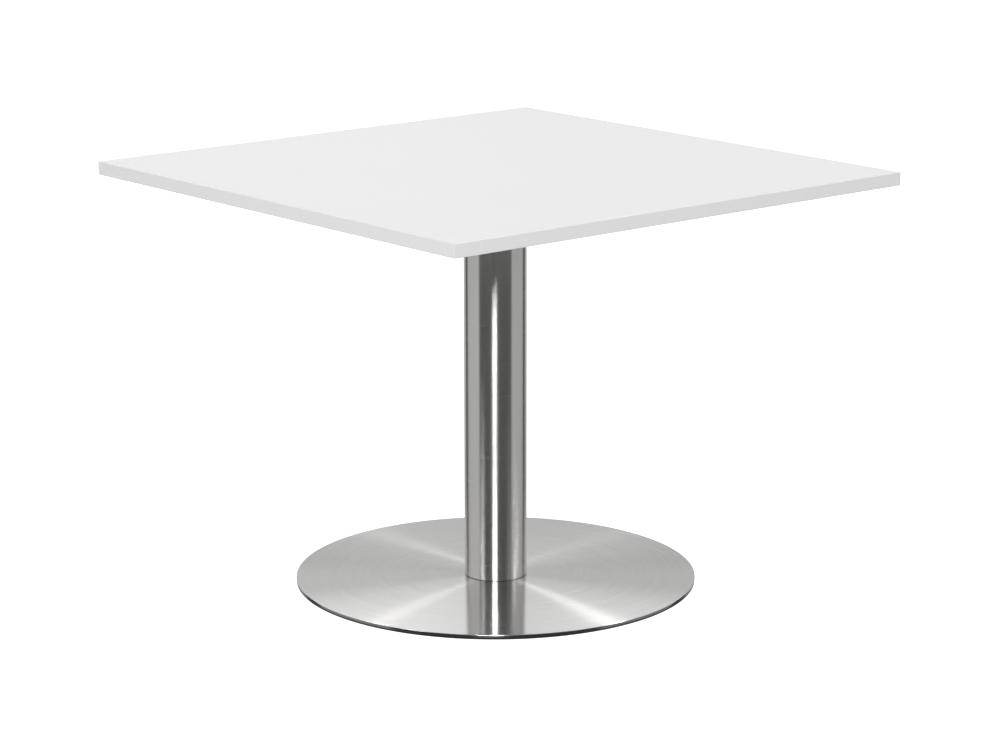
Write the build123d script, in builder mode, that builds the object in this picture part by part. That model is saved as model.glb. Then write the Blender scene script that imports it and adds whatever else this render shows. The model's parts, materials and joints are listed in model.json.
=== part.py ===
from build123d import *
import os

# Bistro table: a square laminate top on a round brushed-steel column and a flat round base.
# Millimetres, +Z up, origin on the floor under the middle of the column, X and Y along the top's sides.
# A tie rod inside the column clamps the head plate, the tube and the foot hub together.

os.makedirs("parts", exist_ok=True)

# Top
top_side = 1000.0
core_thickness = 22.0
laminate_thickness = 0.8
edging_thickness = 2.0
corner_radius = 1.5  # upright corners of the edging
arris_radius = 1.4  # long edges of the edging
support_height = 730.0  # floor to the underside of the top

# Column
column_radius = 56.0
column_wall = 2.0
gasket_thickness = 0.8
gasket_inset = 0.3

# Base
base_radius = 360.0
base_height = 10.0
cover_thickness = 1.2
cover_bend_radius = 1.6
rim_depth = 5.0  # from the cover's upper face to the lower edge of its rim
weight_thickness = 6.0
weight_gap = 0.5  # between the ballast's edge and the inside of the rim
protector_bottom = 2.0
protector_inset = 0.3  # from the outside of the rim
protector_wall = 1.1
protector_lip_width = 9.0

# Head plate and arms
head_plate_radius = 75.0
head_plate_thickness = 6.0
plate_chamfer = 0.8
arm_height = 19.0
arm_tip_height = 9.0
arm_width = 30.0
arm_gauge = 3.0
arm_start = 26.0  # from the column's axis to an arm's inner end
arm_tip = 300.0
arm_fold_radius = 4.0
arm_screw_reaches = (118.0, 272.0)
arm_angles = (45, 135, 225, 315)

# Spigots that centre the tube
spigot_gap = 0.3
spigot_chamfer = 2.0
upper_spigot_height = 12.0
upper_spigot_wall = 8.0
hub_height = 15.0

# Tie rod, M12
rod_radius = 6.0
rod_seat = 1.0  # solid left under the rod in the foot hub
rod_projection = 3.0  # beyond the nut
washer_radius = 18.5
washer_thickness = 3.0
nut_across_flats = 18.0
nut_height = 10.8
nut_corner_cut = 1.2

# M6 screws and inserts
m6_radius = 3.0
m6_length = 16.0
screw_point = 0.6
plain_hole_gap = 0.3  # radial, screw in a plain hole
tapped_hole_gap = 0.05  # radial, screw in a tapped hole
button_head_radius = 5.25
button_head_height = 3.3
button_head_round = 2.2
sunk_head_radius = 6.0
socket_across_flats = 4.0
socket_depth = 2.0
insert_radius = 4.5
insert_length = 12.0
insert_hole_spare = 2.0  # depth of the board's hole beyond the insert
hub_screw_circle = 34.0
hub_screw_angles = (0, 90, 180, 270)
hub_tap_depth = 10.5

# Levelling glides, M8 x 1
glide_circle = 300.0
glide_angles = (45, 135, 225, 315)
pad_radius = 15.0
pad_edge_round = 0.5
pad_key_hole_radius = 3.2
stud_radius = 4.0
stud_gap = 0.08  # radial, all round the stud and its flange
stud_flange_radius = 7.0
stud_flange_height = 1.2
stud_flange_level = 0.8  # pad left under the flange
stud_end_gap = 0.6  # between the stud's end and the cover

# Levels, from the floor up
cover_underside = base_height - cover_thickness
weight_bottom = cover_underside - weight_thickness
rim_bottom = base_height - rim_depth
tube_bottom = base_height + gasket_thickness
head_plate_top = support_height - arm_height
tube_top = head_plate_top - head_plate_thickness
arm_web_bottom = support_height - arm_gauge
core_bottom = support_height + laminate_thickness
core_top = core_bottom + core_thickness
top_thickness = core_thickness + 2 * laminate_thickness
nut_bottom = head_plate_top + washer_thickness
rod_bottom = base_height + rod_seat
rod_top = nut_bottom + nut_height + rod_projection
stud_top = cover_underside - stud_end_gap

# Radii and widths
board_side = top_side - 2 * edging_thickness
tube_bore_radius = column_radius - column_wall
spigot_radius = tube_bore_radius - spigot_gap
rim_inner_radius = base_radius - cover_thickness
weight_radius = rim_inner_radius - weight_gap
protector_radius = base_radius - protector_inset


def places_around(radius, angles):
    """Points on a circle about the column's axis."""
    return [Vector(radius, 0).rotate(Axis.Z, angle) for angle in angles]


def save(part, name):
    """Label a finished piece and write it to its own file."""
    part.label = name
    export_step(part, f"parts/{name}.step")


arm_screw_places = [
    place for reach in arm_screw_reaches for place in places_around(reach, arm_angles)
]
hub_screw_places = places_around(hub_screw_circle, hub_screw_angles)
glide_places = places_around(glide_circle, glide_angles)


# Particle board, with a blind hole for each threaded insert
with BuildPart() as top_core:
    with BuildSketch(Plane.XY.offset(core_bottom)):
        Rectangle(board_side, board_side)
    extrude(amount=core_thickness)
    with BuildSketch(Plane.XY.offset(core_bottom)):
        with Locations(*arm_screw_places):
            Circle(insert_radius + tapped_hole_gap)
    extrude(amount=insert_length - laminate_thickness + insert_hole_spare, mode=Mode.SUBTRACT)
save(top_core.part, "top_core")

# White laminate on the upper face
with BuildPart() as top_laminate:
    with BuildSketch(Plane.XY.offset(core_top)):
        Rectangle(board_side, board_side)
    extrude(amount=laminate_thickness)
save(top_laminate.part, "top_laminate")

# Balancing laminate on the underside, drilled for the inserts
with BuildPart() as top_backer:
    with BuildSketch(Plane.XY.offset(support_height)):
        Rectangle(board_side, board_side)
        with Locations(*arm_screw_places):
            Circle(insert_radius + tapped_hole_gap, mode=Mode.SUBTRACT)
    extrude(amount=laminate_thickness)
save(top_backer.part, "top_backer")


def make_edge_band(name, outward, along, turns_corners):
    """One strip of edging on a side of the board, with rounded arrises."""
    middle = Vector(*outward) * (board_side / 2) + Vector(0, 0, support_height + top_thickness / 2)
    outward_axis = Axis((0, 0, 0), outward)
    with BuildPart() as band:
        with BuildSketch(Plane(origin=middle, x_dir=along, z_dir=outward)):
            Rectangle(top_side if turns_corners else board_side, top_thickness)
        extrude(amount=edging_thickness)
        if turns_corners:
            fillet(band.edges().filter_by(Axis.Z).group_by(outward_axis)[-1], corner_radius)
        outlines = band.faces().filter_by(Axis.Z).edges().group_by(outward_axis)
        arrises = outlines[1:] if turns_corners else outlines[-1:]
        fillet([edge for group in arrises for edge in group], arris_radius)
    save(band.part, name)


# The left and right strips run past the ends of the front and back ones
make_edge_band("edge_band_front", (0, -1, 0), (1, 0, 0), False)
make_edge_band("edge_band_back", (0, 1, 0), (1, 0, 0), False)
make_edge_band("edge_band_left", (-1, 0, 0), (0, 1, 0), True)
make_edge_band("edge_band_right", (1, 0, 0), (0, 1, 0), True)

# Threaded inserts, flush with the underside of the top
with BuildPart() as top_inserts:
    with BuildSketch(Plane.XY.offset(support_height)):
        with Locations(*arm_screw_places):
            Circle(insert_radius)
            Circle(m6_radius + tapped_hole_gap, mode=Mode.SUBTRACT)
    extrude(amount=insert_length)
save(top_inserts.part, "top_inserts")

# Button-head screws, driven up through the arms
with BuildPart() as arm_screws:
    with BuildSketch(Plane.XY.offset(arm_web_bottom)):
        with Locations(*arm_screw_places):
            Circle(m6_radius)
    extrude(amount=m6_length)
    chamfer(arm_screws.edges().group_by(Axis.Z)[-1], screw_point)
    with BuildSketch(Plane.XY.offset(arm_web_bottom)):
        with Locations(*arm_screw_places):
            Circle(button_head_radius)
    extrude(amount=-button_head_height)
    fillet(arm_screws.edges().group_by(Axis.Z)[0], button_head_round)
    with BuildSketch(Plane.XY.offset(arm_web_bottom - button_head_height)):
        with Locations(*arm_screw_places):
            RegularPolygon(socket_across_flats / 2, 6, major_radius=False)
    extrude(amount=socket_depth, mode=Mode.SUBTRACT)
save(arm_screws.part, "arm_screws")


def make_support_arm(name, angle):
    """A folded channel, open below and at its ends, shallower beyond the head plate."""
    radial = Plane.XZ.rotated((0, 0, angle))
    screw_places = [places_around(reach, [angle])[0] for reach in arm_screw_reaches]
    with BuildPart() as arm:
        with BuildSketch(radial):
            Polygon(
                (arm_start, head_plate_top),
                (head_plate_radius, head_plate_top),
                (arm_tip, support_height - arm_tip_height),
                (arm_tip, support_height),
                (arm_start, support_height),
                align=None,
            )
        extrude(amount=arm_width / 2, both=True)
        long_edges = arm.faces().sort_by(Axis.Z)[-1].edges().sort_by(SortBy.LENGTH)[-2:]
        fillet(long_edges, arm_fold_radius)
        ends = arm.faces().filter_by(Axis((0, 0, 0), radial.x_dir))
        undersides = arm.faces().filter_by(lambda face: face.normal_at().Z < -0.5)
        offset(amount=-arm_gauge, openings=ends + undersides)
        with BuildSketch(Plane.XY.offset(arm_web_bottom)):
            with Locations(*screw_places):
                Circle(m6_radius + plain_hole_gap)
        extrude(amount=arm_gauge, mode=Mode.SUBTRACT)
    save(arm.part, name)


for number, angle in enumerate(arm_angles, 1):
    make_support_arm(f"support_arm_{number}", angle)

# Round plate that joins the arms to the column
with BuildPart() as head_plate:
    with BuildSketch(Plane.XY.offset(tube_top)):
        Circle(head_plate_radius)
        Circle(rod_radius + plain_hole_gap, mode=Mode.SUBTRACT)
    extrude(amount=head_plate_thickness)
    chamfer(head_plate.edges().group_by(SortBy.LENGTH)[-1], plate_chamfer)
save(head_plate.part, "head_plate")

# Ring under the head plate, inside the tube
with BuildPart() as upper_spigot:
    with BuildSketch(Plane.XY.offset(tube_top)):
        Circle(spigot_radius)
        Circle(spigot_radius - upper_spigot_wall, mode=Mode.SUBTRACT)
    extrude(amount=-upper_spigot_height)
    chamfer(upper_spigot.edges().group_by(Axis.Z)[0].sort_by(SortBy.LENGTH)[-1], spigot_chamfer)
save(upper_spigot.part, "upper_spigot")

# Tie rod, with its washer and nut on the head plate
with BuildPart() as tie_rod:
    with BuildSketch(Plane.XY.offset(rod_bottom)):
        Circle(rod_radius)
    extrude(amount=rod_top - rod_bottom)
    chamfer(tie_rod.edges().filter_by(GeomType.CIRCLE), screw_point)
save(tie_rod.part, "tie_rod")

with BuildPart() as rod_washer:
    with BuildSketch(Plane.XY.offset(head_plate_top)):
        Circle(washer_radius)
        Circle(rod_radius + plain_hole_gap, mode=Mode.SUBTRACT)
    extrude(amount=washer_thickness)
save(rod_washer.part, "rod_washer")

with BuildPart() as rod_nut:
    with BuildSketch(Plane.XY.offset(nut_bottom)):
        RegularPolygon(nut_across_flats / 2, 6, major_radius=False)
        Circle(rod_radius + tapped_hole_gap, mode=Mode.SUBTRACT)
    extrude(amount=nut_height)
    with BuildSketch(Plane.XZ):
        Polygon(
            (0, nut_bottom),
            (nut_across_flats / 2, nut_bottom),
            (nut_across_flats / 2 + nut_corner_cut, nut_bottom + nut_corner_cut),
            (nut_across_flats / 2 + nut_corner_cut, nut_bottom + nut_height - nut_corner_cut),
            (nut_across_flats / 2, nut_bottom + nut_height),
            (0, nut_bottom + nut_height),
            align=None,
        )
    revolve(axis=Axis.Z, mode=Mode.INTERSECT)
save(rod_nut.part, "rod_nut")

# Column tube and the dark ring under it
with BuildPart() as column_tube:
    with BuildSketch(Plane.XY.offset(tube_bottom)):
        Circle(column_radius)
        Circle(tube_bore_radius, mode=Mode.SUBTRACT)
    extrude(amount=tube_top - tube_bottom)
save(column_tube.part, "column_tube")

with BuildPart() as column_gasket:
    with BuildSketch(Plane.XY.offset(base_height)):
        Circle(column_radius - gasket_inset)
        Circle(tube_bore_radius, mode=Mode.SUBTRACT)
    extrude(amount=gasket_thickness)
save(column_gasket.part, "column_gasket")

# Tapped disc inside the tube's foot
with BuildPart() as foot_hub:
    with BuildSketch(Plane.XY.offset(base_height)):
        Circle(spigot_radius)
    extrude(amount=hub_height)
    chamfer(foot_hub.edges().group_by(Axis.Z)[-1], spigot_chamfer)
    with BuildSketch(Plane.XY.offset(rod_bottom)):
        Circle(rod_radius + tapped_hole_gap)
    extrude(amount=hub_height, mode=Mode.SUBTRACT)
    with BuildSketch(Plane.XY.offset(base_height)):
        with Locations(*hub_screw_places):
            Circle(m6_radius + tapped_hole_gap)
    extrude(amount=hub_tap_depth, mode=Mode.SUBTRACT)
save(foot_hub.part, "foot_hub")

# Countersunk screws, driven up through the ballast and the cover
with BuildPart() as hub_screws:
    with BuildSketch(Plane.XY.offset(weight_bottom)):
        with Locations(*hub_screw_places):
            Circle(m6_radius)
    extrude(amount=m6_length)
    chamfer(hub_screws.edges().group_by(Axis.Z)[-1], screw_point)
    with BuildSketch(Plane.XY.offset(weight_bottom)):
        with Locations(*hub_screw_places):
            Circle(sunk_head_radius)
    extrude(amount=sunk_head_radius - m6_radius, taper=45)
    with BuildSketch(Plane.XY.offset(weight_bottom)):
        with Locations(*hub_screw_places):
            RegularPolygon(socket_across_flats / 2, 6, major_radius=False)
    extrude(amount=socket_depth, mode=Mode.SUBTRACT)
save(hub_screws.part, "hub_screws")

# Ballast plate, countersunk from below for the hub screws and tapped for the glides
sink_planes = [
    Plane(place + Vector(0, 0, weight_bottom), z_dir=(0, 0, -1)) for place in hub_screw_places
]
with BuildPart() as base_weight:
    with BuildSketch(Plane.XY.offset(weight_bottom)):
        Circle(weight_radius)
        with Locations(*glide_places):
            Circle(stud_radius + stud_gap, mode=Mode.SUBTRACT)
    extrude(amount=weight_thickness)
    chamfer(base_weight.edges().group_by(SortBy.LENGTH)[-1], plate_chamfer)
    with Locations(*sink_planes):
        CounterSinkHole(
            m6_radius + plain_hole_gap,
            sunk_head_radius + plain_hole_gap,
            depth=weight_thickness,
            counter_sink_angle=90,
        )
save(base_weight.part, "base_weight")

# Stainless cover with its rim turned down
with BuildPart() as base_cover:
    with BuildSketch(Plane.XZ) as cover_section:
        with BuildLine():
            Polyline(
                (0, base_height),
                (base_radius, base_height),
                (base_radius, rim_bottom),
                (rim_inner_radius, rim_bottom),
                (rim_inner_radius, cover_underside),
                (0, cover_underside),
                close=True,
            )
        make_face()
        outer_corner = cover_section.vertices().group_by(Axis.Y)[-1].sort_by(Axis.X)[-1]
        inner_corner = cover_section.vertices().group_by(Axis.Y)[1].sort_by(Axis.X)[-1]
        fillet(outer_corner, cover_bend_radius)
        fillet(inner_corner, cover_bend_radius - cover_thickness)
    revolve(axis=Axis.Z)
    with Locations(*[place + Vector(0, 0, base_height) for place in hub_screw_places]):
        Hole(m6_radius + plain_hole_gap, depth=cover_thickness)
save(base_cover.part, "base_cover")

# Dark ring that hooks round the ballast's lower edge, under the rim
with BuildPart() as edge_protector:
    with BuildSketch(Plane.XZ):
        with BuildLine():
            Polyline(
                (protector_radius, protector_bottom),
                (protector_radius, rim_bottom),
                (protector_radius - protector_wall, rim_bottom),
                (protector_radius - protector_wall, weight_bottom),
                (protector_radius - protector_lip_width, weight_bottom),
                (protector_radius - protector_lip_width, protector_bottom),
                close=True,
            )
        make_face()
    revolve(axis=Axis.Z)
save(edge_protector.part, "edge_protector")


def make_glide(number, place):
    """A levelling glide: a pad that stays still on the floor and a stud that turns in it."""
    with BuildPart() as pad:
        with BuildSketch():
            with Locations(place):
                Circle(pad_radius)
                Circle(pad_key_hole_radius, mode=Mode.SUBTRACT)
        extrude(amount=weight_bottom)
        fillet(pad.edges().group_by(SortBy.LENGTH)[-1], pad_edge_round)
        with BuildSketch(Plane.XY.offset(stud_flange_level)):
            with Locations(place):
                Circle(stud_flange_radius + stud_gap)
        extrude(amount=stud_flange_height + stud_gap, mode=Mode.SUBTRACT)
        with BuildSketch(Plane.XY.offset(stud_flange_level)):
            with Locations(place):
                Circle(stud_radius + stud_gap)
        extrude(amount=weight_bottom, mode=Mode.SUBTRACT)
    save(pad.part, f"glide_pad_{number}")

    with BuildPart() as stud:
        with BuildSketch(Plane.XY.offset(stud_flange_level)):
            with Locations(place):
                Circle(stud_flange_radius)
        extrude(amount=stud_flange_height)
        with BuildSketch(Plane.XY.offset(stud_flange_level)):
            with Locations(place):
                Circle(stud_radius)
        extrude(amount=stud_top - stud_flange_level)
        chamfer(stud.edges().group_by(Axis.Z)[-1], screw_point)
        with BuildSketch(Plane.XY.offset(stud_flange_level)):
            with Locations(place):
                RegularPolygon(socket_across_flats / 2, 6, major_radius=False)
        extrude(amount=socket_depth, mode=Mode.SUBTRACT)
    save(stud.part, f"glide_stud_{number}")


for number, place in enumerate(glide_places, 1):
    make_glide(number, place)
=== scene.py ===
import json
import math

import bmesh
import bpy
from mathutils import Matrix, Vector


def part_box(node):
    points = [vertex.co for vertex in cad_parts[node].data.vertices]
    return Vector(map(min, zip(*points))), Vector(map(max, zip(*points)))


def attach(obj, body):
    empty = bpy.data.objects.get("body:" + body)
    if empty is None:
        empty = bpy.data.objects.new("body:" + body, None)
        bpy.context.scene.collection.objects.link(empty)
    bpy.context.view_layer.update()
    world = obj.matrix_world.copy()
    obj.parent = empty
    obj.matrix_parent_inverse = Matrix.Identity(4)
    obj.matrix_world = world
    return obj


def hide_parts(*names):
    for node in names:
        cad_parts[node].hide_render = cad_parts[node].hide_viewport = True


# Bistro table: white square top, brushed column, flat round brushed base.
# Metres, +Z up, origin on the floor under the middle of the column.

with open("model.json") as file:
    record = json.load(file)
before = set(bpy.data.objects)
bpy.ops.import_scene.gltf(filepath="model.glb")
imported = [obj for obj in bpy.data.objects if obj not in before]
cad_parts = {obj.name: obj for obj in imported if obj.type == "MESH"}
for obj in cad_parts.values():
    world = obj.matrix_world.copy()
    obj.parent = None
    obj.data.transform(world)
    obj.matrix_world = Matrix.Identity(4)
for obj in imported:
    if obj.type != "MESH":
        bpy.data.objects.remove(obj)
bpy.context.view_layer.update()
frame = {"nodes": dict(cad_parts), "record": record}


class Wire:
    # one output socket of a node tree, so that shader maths reads like ordinary maths
    def __init__(self, tree, socket=None):
        self.tree = tree
        self.socket = socket

    def node(self, kind, settings, inputs, output=0):
        made = self.tree.nodes.new(kind)
        for name, value in settings.items():
            if name == "stops":
                self.setStops(made.color_ramp, value)
            else:
                setattr(made, name, value)
        for name, value in inputs.items():
            if isinstance(value, Wire):
                self.tree.links.new(value.socket, made.inputs[name])
            else:
                made.inputs[name].default_value = value
        return Wire(self.tree, made.outputs[output])

    def setStops(self, ramp, stops):
        while len(ramp.elements) < len(stops):
            ramp.elements.new(0.5)
        for element, (place, colour) in zip(ramp.elements, stops):
            element.position = place
            element.color = (*colour, 1.0)

    def maths(self, operation, *values):
        return self.node("ShaderNodeMath", {"operation": operation}, dict(enumerate(values)))

    def __add__(self, other):
        return self.maths("ADD", self, other)

    def __radd__(self, other):
        return self.maths("ADD", other, self)

    def __sub__(self, other):
        return self.maths("SUBTRACT", self, other)

    def __rsub__(self, other):
        return self.maths("SUBTRACT", other, self)

    def __mul__(self, other):
        return self.maths("MULTIPLY", self, other)

    def __rmul__(self, other):
        return self.maths("MULTIPLY", other, self)


def stretched(sheet, point, scale):
    # a point's coordinates, scaled along each axis
    return sheet.node("ShaderNodeVectorMath", {"operation": "MULTIPLY"}, {0: point, 1: scale})


def noise(sheet, point, scale=1.0, detail=2.0, roughness=0.5):
    values = {"Vector": point, "Scale": scale, "Detail": detail, "Roughness": roughness}
    return sheet.node("ShaderNodeTexNoise", {}, values)


def mixed(sheet, share, first, second):
    # a colour between two colours
    settings = {"data_type": "RGBA"}
    return sheet.node("ShaderNodeMix", settings, {0: share, 6: first, 7: second}, 2)


def ramped(sheet, value, low, high, start=0.0, end=1.0):
    # value runs from start to end as it goes from low to high, with soft ends
    settings = {"interpolation_type": "SMOOTHSTEP"}
    return sheet.node("ShaderNodeMapRange", settings, {0: value, 1: low, 2: high, 3: start, 4: end})


def grey(level):
    return (level, level, level, 1.0)


def newFinish(name):
    material = bpy.data.materials.new(name)
    material.use_nodes = True
    material.node_tree.nodes.clear()
    return material, Wire(material.node_tree)


def closeFinish(sheet, values):
    surface = sheet.node("ShaderNodeBsdfPrincipled", {}, values)
    linkOutput(sheet, surface)


def linkOutput(sheet, surface):
    end = sheet.tree.nodes.new("ShaderNodeOutputMaterial")
    sheet.tree.links.new(surface.socket, end.inputs["Surface"])


def place(sheet):
    return sheet.node("ShaderNodeTexCoord", {}, {}, "Object")


def bumped(sheet, height, depth, strength=1.0):
    values = {"Height": height, "Distance": depth, "Strength": strength}
    return sheet.node("ShaderNodeBump", {}, values)


def heightOf(sheet, point):
    return sheet.node("ShaderNodeSeparateXYZ", {}, {0: point}, "Z")


def brushedSteel(sheet, colour, lines, look):
    # the gloss is crisp round the brushing and drawn out across it
    closeFinish(sheet, {
        "Base Color": colour,
        "Metallic": 1.0,
        "Roughness": (lines - 0.5) * look["grain"] + look["roughness"],
        "Anisotropic": 1.0,
        "Anisotropic Rotation": 0.25,
    })


tubeBrush = {
    "roughness": 0.27,
    "grain": 0.018,
    "dark": (0.54, 0.535, 0.525, 1.0),
    "light": (0.66, 0.655, 0.645, 1.0),
    "hairs": (6.0, 6.0, 5200.0),  # hairlines to a metre, most of them up the tube
    "streaks": (3.0, 3.0, 420.0),
    "scuffs": (14.0, 14.0, 150.0),
    "scuffEdge": (0.56, 0.72),
    "hairShare": 0.55,
    "streakShare": 0.15,
    "scuffShare": 0.12,
    "lightShare": 0.12,
}


def makeTubeSteel():
    material, sheet = newFinish("brushedTubeSteel")
    point = place(sheet)
    hairs = noise(sheet, stretched(sheet, point, tubeBrush["hairs"]), 1.0, 3.0, 0.7)
    streaks = noise(sheet, stretched(sheet, point, tubeBrush["streaks"]), 1.0, 2.0)
    scuffs = noise(sheet, stretched(sheet, point, tubeBrush["scuffs"]), 1.0, 4.0, 0.65)
    # short heavier strokes of the belt, here and there
    rubbed = ramped(sheet, scuffs, *tubeBrush["scuffEdge"]) * tubeBrush["scuffShare"]
    share = hairs * tubeBrush["hairShare"] + streaks * tubeBrush["streakShare"] - rubbed
    colour = mixed(sheet, share + tubeBrush["lightShare"], tubeBrush["dark"], tubeBrush["light"])
    brushedSteel(sheet, colour, hairs + rubbed, tubeBrush)
    return material


discBrush = {
    "roughness": 0.17,
    "grain": 0.07,
    "dark": (0.5, 0.495, 0.485, 1.0),
    "light": (0.74, 0.735, 0.725, 1.0),
    "rim": (0.26, 0.258, 0.255, 1.0),  # painted shade: the turned-down rim is darkened to stand in for the shaded floor it reflects
    "rings": 2600.0,  # brush rings to a metre, outwards
    "bands": 140.0,
    "drift": (2.5, 2.5, 0.0),  # how fast the rings change on the way round
    "rimFade": (0.0082, 0.0092),  # heights between which the rim's painted shade gives way to the face's tone
    "ringShare": 0.5,
    "bandShare": 0.3,
    "lightShare": 0.05,
}


def makeDiscSteel():
    material, sheet = newFinish("brushedDiscSteel")
    point = place(sheet)
    flat = stretched(sheet, point, (1.0, 1.0, 0.0))
    radius = sheet.node("ShaderNodeVectorMath", {"operation": "LENGTH"}, {0: flat}, "Value")
    parts = sheet.node("ShaderNodeVectorMath", {"operation": "NORMALIZE"}, {0: flat})
    around = stretched(sheet, parts, discBrush["drift"])

    def ringed(density):
        outward = sheet.node("ShaderNodeCombineXYZ", {}, {2: radius * density})
        return sheet.node("ShaderNodeVectorMath", {"operation": "ADD"}, {0: outward, 1: around})

    rings = noise(sheet, ringed(discBrush["rings"]), 1.0, 3.0, 0.7)
    bands = noise(sheet, ringed(discBrush["bands"]), 1.0, 3.0)
    share = rings * discBrush["ringShare"] + bands * discBrush["bandShare"] + discBrush["lightShare"]
    face = mixed(sheet, share, discBrush["dark"], discBrush["light"])
    # painted shade: below the bend the rim takes the dark colour, standing in for the shaded floor it
    # reflects
    outsidePaintedShade = ramped(sheet, heightOf(sheet, point), *discBrush["rimFade"])
    colour = mixed(sheet, outsidePaintedShade, discBrush["rim"], face)
    brushedSteel(sheet, colour, rings * 0.7 + bands * 0.3, discBrush)
    return material


laminateLook = {
    "light": grey(0.815),
    "dark": grey(0.8),
    "roughness": 0.12,
    "cloud": 5.0,
    "pearl": 900.0,  # the press plate's fine texture
    "pearlGloss": 0.04,
    "wipe": (2.0, 9.0, 1.0),  # cloth marks in the gloss
    "wipeGloss": 0.06,
    "relief": 0.00001,
}


def makeWhiteLaminate():
    material, sheet = newFinish("whiteLaminate")
    point = place(sheet)
    cloud = noise(sheet, point, laminateLook["cloud"], 3.0)
    pearl = noise(sheet, point, laminateLook["pearl"], 2.0)
    wiped = noise(sheet, stretched(sheet, point, laminateLook["wipe"]), 3.0, 5.0, 0.6)
    gloss = (pearl - 0.5) * laminateLook["pearlGloss"] + (wiped - 0.5) * laminateLook["wipeGloss"]
    closeFinish(sheet, {
        "Base Color": mixed(sheet, cloud, laminateLook["dark"], laminateLook["light"]),
        "Roughness": gloss + laminateLook["roughness"],
        "Normal": bumped(sheet, pearl, laminateLook["relief"], 0.3),
    })
    return material


edgingLook = {
    # painted shade: the white strip's tone is set greyer than the laminate's, standing in for the lesser
    # light on its upright faces
    "light": grey(0.65),
    "dark": grey(0.62),
    "seam": grey(0.5),
    "roughness": 0.36,
    "pearl": 700.0,
    "pearlGloss": 0.06,
    "drawing": (3.0, 3.0, 1500.0),  # fine lines left by the die, along the strip
    "relief": 0.00002,
    "glueDepth": (0.0004, 0.0002),  # below the upper face, where the glue line fades out
}


def makeWhiteEdging():
    material, sheet = newFinish("whiteEdging")
    point = place(sheet)
    pearl = noise(sheet, point, edgingLook["pearl"], 2.0)
    drawn = noise(sheet, stretched(sheet, point, edgingLook["drawing"]), 1.0, 2.0)
    # the strip's greyer tone is painted shade on its upright faces, with the die lines in it
    strip = mixed(sheet, drawn, edgingLook["dark"], edgingLook["light"])
    # a hairline of glue where the strip meets the laminate on the upper face
    sides = [sheet.node("ShaderNodeSeparateXYZ", {}, {0: point}, axis) for axis in "XY"]
    outward = sheet.maths("MAXIMUM", *(sheet.maths("ABSOLUTE", side) for side in sides))
    glue = ramped(sheet, outward, topLook["seamAt"], topLook["seamAt"] + topLook["seam"], 1.0, 0.0)
    fade = [topLook["level"] - depth for depth in edgingLook["glueDepth"]]
    glue = glue * ramped(sheet, heightOf(sheet, point), *fade)
    closeFinish(sheet, {
        "Base Color": mixed(sheet, glue, strip, edgingLook["seam"]),
        "Roughness": (pearl - 0.5) * edgingLook["pearlGloss"] + edgingLook["roughness"],
        "Normal": bumped(sheet, drawn, edgingLook["relief"], 0.4),
    })
    return material


backerLook = {
    "dark": grey(0.62),
    "light": (0.72, 0.72, 0.7, 1.0),
    "fleck": (0.42, 0.4, 0.37, 1.0),
    "fibres": (220.0, 1400.0, 1.0),
    "flecks": (500.0, 900.0, 1.0),
    "fleckEdge": (0.68, 0.76),
    "roughness": 0.62,
    "relief": 0.00006,
}


def makeBackerLaminate():
    # pressed paper: long soft fibres with a few darker flecks
    material, sheet = newFinish("paperBacker")
    point = place(sheet)
    fibres = noise(sheet, stretched(sheet, point, backerLook["fibres"]), 1.0, 4.0, 0.65)
    specks = noise(sheet, stretched(sheet, point, backerLook["flecks"]), 1.0, 2.0)
    flecks = ramped(sheet, specks, *backerLook["fleckEdge"])
    pulp = mixed(sheet, fibres, backerLook["dark"], backerLook["light"])
    closeFinish(sheet, {
        "Base Color": mixed(sheet, flecks * 0.5, pulp, backerLook["fleck"]),
        "Roughness": (fibres - 0.5) * 0.2 + backerLook["roughness"],
        "Normal": bumped(sheet, fibres, backerLook["relief"], 0.5),
    })
    return material


chipLook = {
    "flatten": (1.0, 1.0, 2.6),  # the press lays the chips flat
    "chips": 240.0,
    "gap": 0.08,
    "grain": (60.0, 900.0, 900.0),
    "dark": (0.36, 0.24, 0.12, 1.0),
    "light": (0.68, 0.52, 0.33, 1.0),
    "resin": (0.2, 0.13, 0.07, 1.0),
    "roughness": 0.68,
    "relief": 0.0002,
}


def makeChipboard():
    # pressed chips, each its own brown, with dark gaps of resin
    material, sheet = newFinish("chipboard")
    point = stretched(sheet, place(sheet), chipLook["flatten"])
    chips = {"Vector": point, "Scale": chipLook["chips"]}
    cells = sheet.node("ShaderNodeTexVoronoi", {}, chips, "Color")
    tint = sheet.node("ShaderNodeSeparateColor", {}, {0: cells})
    gap = sheet.node("ShaderNodeTexVoronoi", {"feature": "DISTANCE_TO_EDGE"}, chips)
    joint = ramped(sheet, gap, 0.0, chipLook["gap"])
    grain = noise(sheet, stretched(sheet, point, chipLook["grain"]), 1.0, 3.0)
    wood = mixed(sheet, tint * 0.7 + grain * 0.3, chipLook["dark"], chipLook["light"])
    closeFinish(sheet, {
        "Base Color": mixed(sheet, joint, chipLook["resin"], wood),
        "Roughness": grain * 0.2 + chipLook["roughness"],
        "Normal": bumped(sheet, joint + grain * 0.4, chipLook["relief"], 0.6),
    })
    return material


powderLook = {
    "dark": grey(0.014),
    "light": grey(0.032),
    "dust": grey(0.07),
    "peel": 750.0,
    "cloud": 14.0,
    "specks": 2600.0,
    "speckEdge": (0.6, 0.72),
    "cloudEdge": (0.45, 0.65),
    "roughness": 0.42,
    "relief": 0.0002,
}


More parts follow.
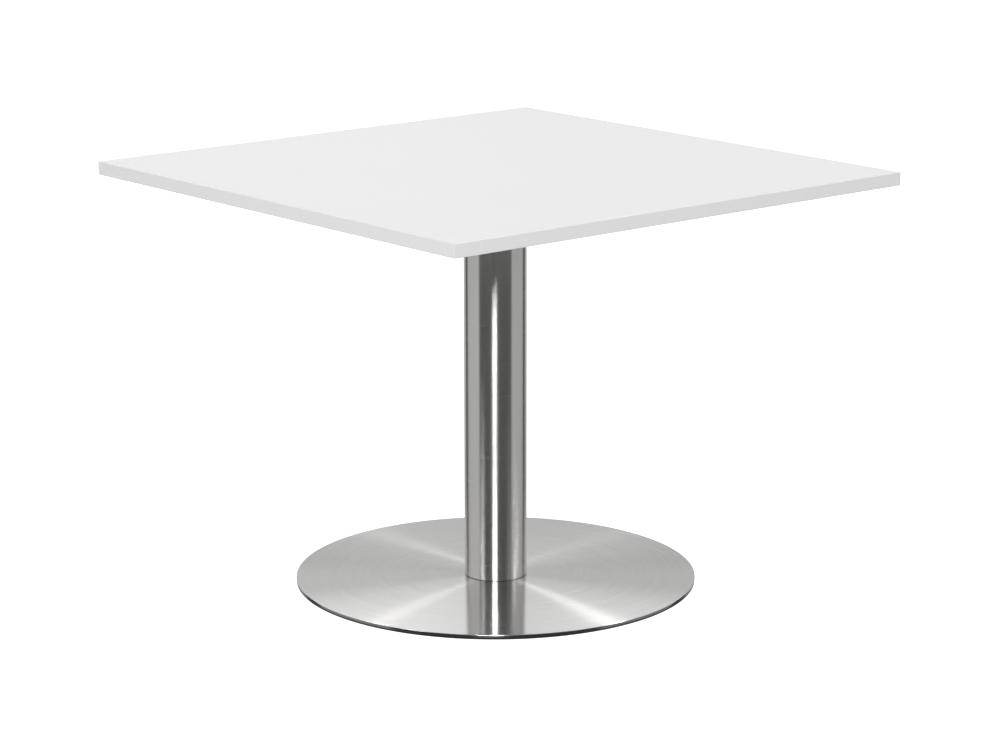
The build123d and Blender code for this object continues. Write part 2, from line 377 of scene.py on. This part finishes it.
def makePowderCoat():
    # baked powder: an orange-peel skin with a little dust lying in it
    material, sheet = newFinish("blackPowderCoat")
    point = place(sheet)
    peel = noise(sheet, point, powderLook["peel"], 2.0)
    cloud = noise(sheet, point, powderLook["cloud"], 4.0)
    specks = ramped(sheet, noise(sheet, point, powderLook["specks"], 2.0), *powderLook["speckEdge"])
    dust = specks * ramped(sheet, cloud, *powderLook["cloudEdge"])
    coat = mixed(sheet, cloud * 0.6 + peel * 0.3, powderLook["dark"], powderLook["light"])
    closeFinish(sheet, {
        "Base Color": mixed(sheet, dust, coat, powderLook["dust"]),
        "Roughness": (cloud - 0.5) * 0.16 + powderLook["roughness"] + dust * 0.2,
        "Normal": bumped(sheet, peel, powderLook["relief"], 0.45),
    })
    return material


zincLook = {
    "crystals": 900.0,
    "dark": (0.42, 0.44, 0.47, 1.0),
    "light": (0.62, 0.64, 0.67, 1.0),
    "yellowed": (0.6, 0.58, 0.48, 1.0),
    "patches": 60.0,
    "patchEdge": (0.5, 0.7),
    "pits": 1800.0,
    "roughness": 0.24,
    "relief": 0.00002,
}


def makeZincPlate():
    # bright zinc: small crystals of slightly different tone under a bluish passivation
    material, sheet = newFinish("zincPlate")
    point = place(sheet)
    cells = {"Vector": point, "Scale": zincLook["crystals"]}
    crystals = sheet.node("ShaderNodeTexVoronoi", {}, cells, "Color")
    tone = sheet.node("ShaderNodeSeparateColor", {}, {0: crystals})
    patches = ramped(sheet, noise(sheet, point, zincLook["patches"], 3.0), *zincLook["patchEdge"])
    metal = mixed(sheet, tone, zincLook["dark"], zincLook["light"])
    closeFinish(sheet, {
        "Base Color": mixed(sheet, patches * 0.5, metal, zincLook["yellowed"]),
        "Metallic": 1.0,
        "Roughness": tone * 0.12 + zincLook["roughness"],
        "Normal": bumped(sheet, noise(sheet, point, zincLook["pits"], 3.0), zincLook["relief"], 0.4),
    })
    return material


brassLook = {
    "marks": (20.0, 20.0, 6000.0),
    "patches": 300.0,
    "dark": (0.5, 0.34, 0.12, 1.0),
    "light": (0.8, 0.62, 0.3, 1.0),
    "roughness": 0.16,
    "relief": 0.00003,
}


def makeTurnedBrass():
    # turning marks up the barrel, with duller patches
    material, sheet = newFinish("turnedBrass")
    point = place(sheet)
    marks = noise(sheet, stretched(sheet, point, brassLook["marks"]), 1.0, 2.0)
    dull = noise(sheet, point, brassLook["patches"], 4.0)
    closeFinish(sheet, {
        "Base Color": mixed(sheet, dull, brassLook["dark"], brassLook["light"]),
        "Metallic": 1.0,
        "Roughness": marks * 0.15 + dull * 0.1 + brassLook["roughness"],
        "Normal": bumped(sheet, marks, brassLook["relief"], 0.5),
    })
    return material


mouldedLook = {
    "flow": (30.0, 30.0, 900.0),
    "grain": 2400.0,
    "scratchHeight": (0.002, 0.0032),
    "scratchEdge": (0.5, 0.7),
    "dark": grey(0.018),
    "light": grey(0.06),
    "roughness": 0.2,
    "relief": 0.00001,
}


def makeMouldedBlack():
    # glossy moulded ring with faint flow lines and scratches near the floor
    material, sheet = newFinish("mouldedBlack")
    point = place(sheet)
    flow = noise(sheet, stretched(sheet, point, mouldedLook["flow"]), 1.0, 3.0)
    grain = noise(sheet, point, mouldedLook["grain"], 2.0)
    low = ramped(sheet, heightOf(sheet, point), *mouldedLook["scratchHeight"], 1.0, 0.0)
    scratched = low * ramped(sheet, flow, *mouldedLook["scratchEdge"])
    closeFinish(sheet, {
        "Base Color": mixed(sheet, scratched + grain * 0.2, mouldedLook["dark"], mouldedLook["light"]),
        "Roughness": flow * 0.08 + scratched * 0.3 + mouldedLook["roughness"],
        "Normal": bumped(sheet, grain, mouldedLook["relief"], 0.4),
    })
    return material


nylonLook = {
    "grain": 1700.0,
    "rubs": (90.0, 900.0, 1.0),
    "rubEdge": (0.4, 0.62),
    "soleFacing": (-0.98, -0.7),
    "dark": grey(0.022),
    "worn": grey(0.12),
    "roughness": 0.5,
    "relief": 0.00004,
}


def makeGlidePlastic():
    # nylon, matt and grained, rubbed pale and smooth where it slides on the floor
    material, sheet = newFinish("glideNylon")
    point = place(sheet)
    grain = noise(sheet, point, nylonLook["grain"], 3.0)
    rubs = noise(sheet, stretched(sheet, point, nylonLook["rubs"]), 1.0, 4.0, 0.7)
    facing = heightOf(sheet, sheet.node("ShaderNodeNewGeometry", {}, {}, "Normal"))
    sole = ramped(sheet, facing, *nylonLook["soleFacing"], 1.0, 0.0)
    worn = sole * ramped(sheet, rubs, *nylonLook["rubEdge"])
    closeFinish(sheet, {
        "Base Color": mixed(sheet, worn * 0.7 + grain * 0.2, nylonLook["dark"], nylonLook["worn"]),
        "Roughness": grain * 0.1 - worn * 0.18 + nylonLook["roughness"],
        "Normal": bumped(sheet, grain - worn * 0.5, nylonLook["relief"], 0.5),
    })
    return material


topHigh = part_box("top_laminate")[1]
topLook = {"seamAt": topHigh.x, "seam": 0.0003, "level": topHigh.z}
finishes = {
    "brushed_stainless": makeTubeSteel(),
    "brushed_stainless_disc": makeDiscSteel(),
    "white_laminate": makeWhiteLaminate(),
    "white_edging": makeWhiteEdging(),
    "backer_laminate": makeBackerLaminate(),
    "particle_board": makeChipboard(),
    "black_steel": makePowderCoat(),
    "zinc_steel": makeZincPlate(),
    "brass": makeTurnedBrass(),
    "black_plastic": makeMouldedBlack(),
    "glide_plastic": makeGlidePlastic(),
}
for part in frame["record"]["subparts"]:
    for slot in frame["nodes"][part["node"]].material_slots:
        slot.material = finishes[part["material_slot"]]
print("finishes made:", len(finishes))


def roundedCorner(before, corner, after, radius, steps):
    # points of an arc that rounds the corner of a section
    if radius <= 0:
        return [corner]
    here, back, ahead = Vector(corner), Vector(before), Vector(after)
    toBack, toAhead = (back - here).normalized(), (ahead - here).normalized()
    half = toBack.angle(toAhead) / 2
    reach = radius / math.tan(half)
    centre = here + (toBack + toAhead).normalized() * (radius / math.sin(half))
    start, end = here + toBack * reach - centre, here + toAhead * reach - centre
    sweep = start.angle_signed(end)
    points = []
    for step in range(steps + 1):
        turned = start.copy()
        turned.rotate(Matrix.Rotation(-sweep * step / steps, 2))
        points.append(tuple(centre + turned))
    return points


def sectionPoints(corners, steps=4):
    # corners are (radius, height, rounding)
    points = []
    for index, (r, z, rounding) in enumerate(corners):
        before, after = corners[index - 1], corners[(index + 1) % len(corners)]
        points += roundedCorner(before[:2], (r, z), after[:2], rounding, steps)
    return points


def turned(name, corners, segments, steps=4, centre=(0.0, 0.0), grip=None):
    # a ring turned round an upright axis from a closed section
    # grip cuts flutes into its outer wall
    points = sectionPoints(corners, steps)
    widest = max(r for r, z in points)
    shape = bmesh.new()
    rings = []
    for index in range(segments):
        angle = 2 * math.pi * index / segments
        cosine, sine = math.cos(angle), math.sin(angle)
        ring = []
        for r, z in points:
            if grip and r > widest - grip["wall"]:
                r -= grip["depth"] * (0.5 - 0.5 * math.cos(grip["flutes"] * angle))
            ring.append(shape.verts.new((centre[0] + r * cosine, centre[1] + r * sine, z)))
        rings.append(ring)
    count = len(points)
    for index in range(segments):
        here, ahead = rings[index], rings[(index + 1) % segments]
        for spot in range(count):
            follow = (spot + 1) % count
            if points[spot][0] > 0 or points[follow][0] > 0:
                shape.faces.new((here[spot], ahead[spot], ahead[follow], here[follow]))
    bmesh.ops.remove_doubles(shape, verts=shape.verts, dist=1e-7)
    bmesh.ops.recalc_face_normals(shape, faces=shape.faces)
    return finished(name, shape)


def finished(name, shape, sharpAngle=30.0):
    mesh = bpy.data.meshes.new(name)
    shape.to_mesh(mesh)
    shape.free()
    mesh.polygons.foreach_set("use_smooth", [True] * len(mesh.polygons))
    mesh.set_sharp_from_angle(angle=math.radians(sharpAngle))
    piece = bpy.data.objects.new(name, mesh)
    bpy.context.scene.collection.objects.link(piece)
    return piece


def drilled(piece, places, radius, low, high, segments=32):
    # round holes cut straight down through a piece
    shape = bmesh.new()
    for x, y in places:
        middle = Matrix.Translation((x, y, (low + high) / 2))
        bmesh.ops.create_cone(
            shape, cap_ends=True, segments=segments, radius1=radius, radius2=radius,
            depth=high - low, matrix=middle,
        )
    drill = finished(piece.name + "Drill", shape)
    cut = piece.modifiers.new("holes", "BOOLEAN")
    cut.operation = "DIFFERENCE"
    cut.object = drill
    seen = piece.evaluated_get(bpy.context.evaluated_depsgraph_get())
    mesh = bpy.data.meshes.new_from_object(seen)
    mesh.name = piece.name
    mesh.set_sharp_from_angle(angle=math.radians(30.0))
    piece.modifiers.clear()
    piece.data = mesh
    bpy.data.objects.remove(drill)


def standFor(piece, slot, body, *nodes):
    piece.data.materials.clear()
    piece.data.materials.append(finishes[slot])
    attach(piece, body)
    if nodes:
        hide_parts(*nodes)


def spotsRound(radius, angles):
    turns = [math.radians(angle) for angle in angles]
    return [(radius * math.cos(turn), radius * math.sin(turn)) for turn in turns]


tubeLow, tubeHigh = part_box("column_tube")
tube = {"outer": tubeHigh.x, "wall": 0.002, "lip": 0.0003, "segments": 256}
standFor(turned("columnTubeShell", [
    (tube["outer"], tubeLow.z, tube["lip"]),
    (tube["outer"], tubeHigh.z, tube["lip"]),
    (tube["outer"] - tube["wall"], tubeHigh.z, tube["lip"]),
    (tube["outer"] - tube["wall"], tubeLow.z, tube["lip"]),
], tube["segments"]), "brushed_stainless", "table", "column_tube")

gasketLow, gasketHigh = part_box("column_gasket")
gasket = {"outer": gasketHigh.x, "bore": 0.054, "edge": 0.0002, "segments": 160}
standFor(turned("columnFootGasket", [
    (gasket["outer"], gasketLow.z, gasket["edge"]),
    (gasket["outer"], gasketHigh.z, gasket["edge"]),
    (gasket["bore"], gasketHigh.z, 0.0),
    (gasket["bore"], gasketLow.z, 0.0),
], gasket["segments"], 3), "black_plastic", "table", "column_gasket")

coverLow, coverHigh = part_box("base_cover")
cover = {
    "outer": coverHigh.x,
    "thick": 0.0012,
    "bend": 0.0009,
    "inside": 0.0004,
    "lip": 0.0002,
    "segments": 512,
    "screwCircle": 0.034,
    "screwAngles": (0, 90, 180, 270),
    "screwHole": 0.0033,
    "drillAbove": 0.001,  # the drill starts this far over the face and ends this far under it
    "drillBelow": 0.002,
}
coverDisc = turned("baseCoverDisc", [
    (0.0, coverHigh.z, 0.0),
    (cover["outer"], coverHigh.z, cover["bend"]),
    (cover["outer"], coverLow.z, cover["lip"]),
    (cover["outer"] - cover["thick"], coverLow.z, cover["lip"]),
    (cover["outer"] - cover["thick"], coverHigh.z - cover["thick"], cover["inside"]),
    (0.0, coverHigh.z - cover["thick"], 0.0),
], cover["segments"], 6)
screwSpots = spotsRound(cover["screwCircle"], cover["screwAngles"])
drillFrom, drillTo = coverHigh.z - cover["drillBelow"], coverHigh.z + cover["drillAbove"]
drilled(coverDisc, screwSpots, cover["screwHole"], drillFrom, drillTo)
standFor(coverDisc, "brushed_stainless_disc", "table", "base_cover")

ringLow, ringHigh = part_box("edge_protector")
ring = {
    "outer": ringHigh.x,
    "wall": 0.0011,
    "lipWide": 0.009,
    "lipHigh": 0.0008,
    "round": 0.0004,
    "edge": 0.0001,
    "lipEdge": 0.0002,
    "segments": 384,
}
standFor(turned("edgeProtectorRing", [
    (ring["outer"], ringLow.z, ring["round"]),
    (ring["outer"], ringHigh.z, ring["edge"]),
    (ring["outer"] - ring["wall"], ringHigh.z, ring["edge"]),
    (ring["outer"] - ring["wall"], ringLow.z + ring["lipHigh"], 0.0),
    (ring["outer"] - ring["lipWide"], ringLow.z + ring["lipHigh"], ring["edge"]),
    (ring["outer"] - ring["lipWide"], ringLow.z, ring["lipEdge"]),
], ring["segments"], 4), "black_plastic", "table", "edge_protector")
print("column, cover and protector made")

foot = {
    "keyHole": 0.0032,
    "keyEdge": 0.0002,
    "flangeRecess": 0.00708,
    "recessLow": 0.0008,
    "recessHigh": 0.00208,
    "bore": 0.00408,
    "sole": 0.0005,
    "brow": 0.0003,
    "segments": 144,
    "grip": {"flutes": 24, "depth": 0.0004, "wall": 0.0003},
}
for number in range(1, 5):
    padLow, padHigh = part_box(f"glide_pad_{number}")
    middle = (padLow + padHigh) / 2
    outer = (padHigh.x - padLow.x) / 2
    glideFoot = turned(f"glideFoot{number}", [
        (foot["keyHole"], padLow.z, foot["keyEdge"]),
        (outer, padLow.z, foot["sole"]),
        (outer, padHigh.z, foot["brow"]),
        (foot["bore"], padHigh.z, 0.0),
        (foot["bore"], foot["recessHigh"], 0.0),
        (foot["flangeRecess"], foot["recessHigh"], 0.0),
        (foot["flangeRecess"], foot["recessLow"], 0.0),
        (foot["keyHole"], foot["recessLow"], 0.0),
    ], foot["segments"], 4, (middle.x, middle.y), foot["grip"])
    standFor(glideFoot, "glide_plastic", f"pad_{number}", f"glide_pad_{number}")
print("glide feet made")


def beadSection(spec, along):
    # corners of the bead's quarter-round section, as (out from the flange's middle, height)
    ends = min(1.0, 6 * along + 0.25, 6 * (1 - along) + 0.25)
    wave = abs(math.sin(along * spec["ripples"] * math.pi))
    size = spec["size"] * ends * (1 + spec["ripple"] * wave)
    corners = []
    for spoke in range(spec["spokes"]):
        lean = math.pi / 2 * spoke / (spec["spokes"] - 1)
        corners.append((spec["flange"] + size * math.cos(lean), spec["level"] + size * math.sin(lean)))
    corners.append((spec["flange"], spec["level"]))
    return corners


def weldBeads(name, spec):
    # a rippled bead along both flanges of each arm, where it stands on the head plate
    shape = bmesh.new()
    for angle in spec["angles"]:
        turn = Matrix.Rotation(math.radians(angle), 4, "Z")
        for side in (1, -1):
            sections = []
            for step in range(spec["steps"] + 1):
                along = step / spec["steps"]
                reach = spec["start"] + (spec["end"] - spec["start"]) * along
                sections.append([
                    shape.verts.new(turn @ Vector((reach, side * out, height)))
                    for out, height in beadSection(spec, along)
                ])
            for near, far in zip(sections, sections[1:]):
                for spot in range(len(near)):
                    follow = (spot + 1) % len(near)
                    shape.faces.new((near[spot], far[spot], far[follow], near[follow]))
            shape.faces.new(sections[0])
            shape.faces.new(sections[-1])
    bmesh.ops.recalc_face_normals(shape, faces=shape.faces)
    return finished(name, shape, 50.0)


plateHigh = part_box("head_plate")[1]
weld = {
    "angles": (45, 135, 225, 315),
    "start": 0.032,
    "end": 0.069,
    "flange": 0.015,
    "level": plateHigh.z,
    "size": 0.0022,
    "ripple": 0.16,
    "ripples": 15,
    "spokes": 7,
    "steps": 90,
}
standFor(weldBeads("armWeldBeads", weld), "black_steel", "table")
print("welds made")


studio = {
    "front": (-0.639, -0.769, 0.0),  # towards the front of the room
    "right": (0.769, -0.639, 0.0),
}


roomLook = {
    # levels by direction: turn (degrees round from the front) and rise (degrees up from level)
    "base": 0.11,
    "rightBox": {"turn": (62.0, 121.0), "level": 0.44, "lift": 0.34},
    "leftBox": {"turn": (-121.0, -62.0), "level": 0.5, "lift": 0.5},
    "boxRise": (-4.0, 14.0),
    "boxEdge": 0.8,
    "backTurn": (137.5, 138.5),
    "backLevel": 0.6,
    "backFoot": {"rise": (-8.0, -26.0), "level": 0.45},
    "backBand": {"rise": (10.5, 14.5), "edge": 0.4, "level": 0.3},
    "backLift": {"rise": (20.0, 29.0), "level": 0.95},
    "backHigh": {"rise": (34.0, 44.0), "level": 0.85},
    "backSlope": (-0.06, 0.06, 1.04, 0.93),  # darker to the right
    "shown": 1.6,  # what the eye sees behind the table
}


def lightRoom():
    world = bpy.data.worlds.new("softStudio")
    bpy.context.scene.world = world
    world.use_nodes = True
    world.node_tree.nodes.clear()
    room = Wire(world.node_tree)
    ray = room.node("ShaderNodeTexCoord", {}, {}, "Generated")

    def along(axis):
        return room.node("ShaderNodeVectorMath", {"operation": "DOT_PRODUCT"}, {0: ray, 1: axis}, "Value")

    degree = 180 / math.pi
    turn = room.maths("ARCTAN2", along(studio["right"]), along(studio["front"])) * degree
    rise = room.maths("ARCSINE", along((0.0, 0.0, 1.0))) * degree

    def between(value, low, high, soft):
        opening = ramped(room, value, low - soft, low + soft)
        return opening * ramped(room, value, high - soft, high + soft, 1.0, 0.0)

    boxLift = ramped(room, rise, *roomLook["boxRise"])

    def box(look):
        return between(turn, *look["turn"], roomLook["boxEdge"]) * (look["level"] + boxLift * look["lift"])

    def step(look):
        return ramped(room, rise, *look["rise"]) * look["level"]

    side = room.maths("ABSOLUTE", turn)
    band = roomLook["backBand"]
    bandLevel = between(rise, *band["rise"], band["edge"]) * band["level"]
    behind = step(roomLook["backLift"]) - step(roomLook["backHigh"]) - bandLevel - step(roomLook["backFoot"])
    slope = ramped(room, along(studio["right"]), *roomLook["backSlope"])
    backdrop = ramped(room, side, *roomLook["backTurn"]) * (behind + roomLook["backLevel"]) * slope
    level = roomLook["base"] + box(roomLook["rightBox"]) + box(roomLook["leftBox"]) + backdrop
    seen = room.node("ShaderNodeLightPath", {}, {}, "Is Camera Ray")
    shown = level * (1 - seen) + seen * roomLook["shown"]
    glow = room.node("ShaderNodeBackground", {}, {"Color": grey(1.0), "Strength": shown})
    end = room.tree.nodes.new("ShaderNodeOutputWorld")
    room.tree.links.new(glow.socket, end.inputs["Surface"])


panels = {
    # turn and rise of the lower and upper ends and the width, all in degrees, then the light's level
    "stripPanel": {"low": (-3.0, 18.0), "high": (-3.0, 28.0), "wide": 14.0, "level": 46.0},
    "leftHighPanel": {"low": (-58.0, 37.0), "high": (-58.0, 56.0), "wide": 11.0, "level": 8.0},
    "rightHighPanel": {"low": (58.5, 37.0), "high": (58.5, 56.0), "wide": 11.0, "level": 1.2},
    "rightArmPanel": {"low": (96.0, 45.0), "high": (99.0, 51.0), "wide": 4.0, "level": 84.0},
    "leftRearPanel": {"low": (-164.0, 43.0), "high": (-145.0, 52.0), "wide": 3.0, "level": 12.0},
    "rightRearPanel": {"low": (164.0, 43.0), "high": (145.0, 52.0), "wide": 3.0, "level": 19.0},
}
panelDistance = 12.0


def roomDirection(turn, rise):
    turn, rise = math.radians(turn), math.radians(rise)
    level = Vector(studio["front"]) * math.cos(turn) + Vector(studio["right"]) * math.sin(turn)
    return level.normalized() * math.cos(rise) + Vector((0.0, 0.0, math.sin(rise)))


def hangPanels():
    for name, panel in panels.items():
        low, high = roomDirection(*panel["low"]), roomDirection(*panel["high"])
        outward = (low + high).normalized()
        upward = (high - low).normalized()
        across = upward.cross(outward)
        light = bpy.data.lights.new(name, "AREA")
        light.shape = "RECTANGLE"
        light.size = 2 * panelDistance * math.tan(math.radians(panel["wide"]) / 2)
        light.size_y = panelDistance * (high - low).length
        light.energy = panel["level"] * math.pi * light.size * light.size_y
        hung = bpy.data.objects.new(name, light)
        bpy.context.scene.collection.objects.link(hung)
        facing = Matrix((across, upward, outward)).transposed().to_4x4()
        hung.matrix_world = Matrix.Translation(outward * panelDistance) @ facing
        hung.visible_camera = False


floorLook = {"half": 40.0, "shown": 1.3, "bounce": 0.72, "cloud": 1.5, "cloudLevel": 0.04, "cells": 8}


def layFloor():
    # an even glow: white to the eye, dimmer to the table, and clear when seen from below
    material, sheet = newFinish("paleFloor")
    seen = sheet.node("ShaderNodeLightPath", {}, {}, "Is Camera Ray")
    cloud = noise(sheet, place(sheet), floorLook["cloud"], 2.0) * floorLook["cloudLevel"]
    strength = seen * floorLook["shown"] + (1 - seen) * floorLook["bounce"] + cloud
    glow = sheet.node("ShaderNodeEmission", {}, {"Color": grey(1.0), "Strength": strength})
    clear = sheet.node("ShaderNodeBsdfTransparent", {}, {})
    behind = sheet.node("ShaderNodeNewGeometry", {}, {}, "Backfacing")
    linkOutput(sheet, sheet.node("ShaderNodeMixShader", {}, {0: behind, 1: glow, 2: clear}))
    shape = bmesh.new()
    cells = floorLook["cells"]
    bmesh.ops.create_grid(shape, x_segments=cells, y_segments=cells, size=floorLook["half"])
    floor = finished("studioFloor", shape)
    floor.data.materials.append(material)
    floor.visible_glossy = False


lightRoom()
hangPanels()
layFloor()

cameraLook = {
    "lens": 109.54,
    "sensor": 36.0,
    "distance": 5.2752,  # from the column's axis, level
    "height": 1.6493,
    "bearing": 40.01,  # degrees round from the front side of the top
    "down": 13.602,
    "pan": 0.09,
    "roll": -0.064,
}


def setCamera():
    data = bpy.data.cameras.new("studioCamera")
    data.lens = cameraLook["lens"]
    data.sensor_width = cameraLook["sensor"]
    camera = bpy.data.objects.new("studioCamera", data)
    bpy.context.scene.collection.objects.link(camera)
    bearing = math.radians(cameraLook["bearing"])
    spot = Vector((-math.sin(bearing), -math.cos(bearing), 0.0)) * cameraLook["distance"]
    spot.z = cameraLook["height"]
    heading = Matrix.Rotation(-bearing - math.radians(cameraLook["pan"]), 4, "Z")
    tilt = Matrix.Rotation(math.pi / 2 - math.radians(cameraLook["down"]), 4, "X")
    roll = Matrix.Rotation(math.radians(cameraLook["roll"]), 4, "Z")
    camera.matrix_world = Matrix.Translation(spot) @ heading @ tilt @ roll
    bpy.context.scene.camera = camera


setCamera()
bpy.context.scene.view_settings.view_transform = "Standard"
bpy.context.scene.view_settings.look = "None"

print("ready")
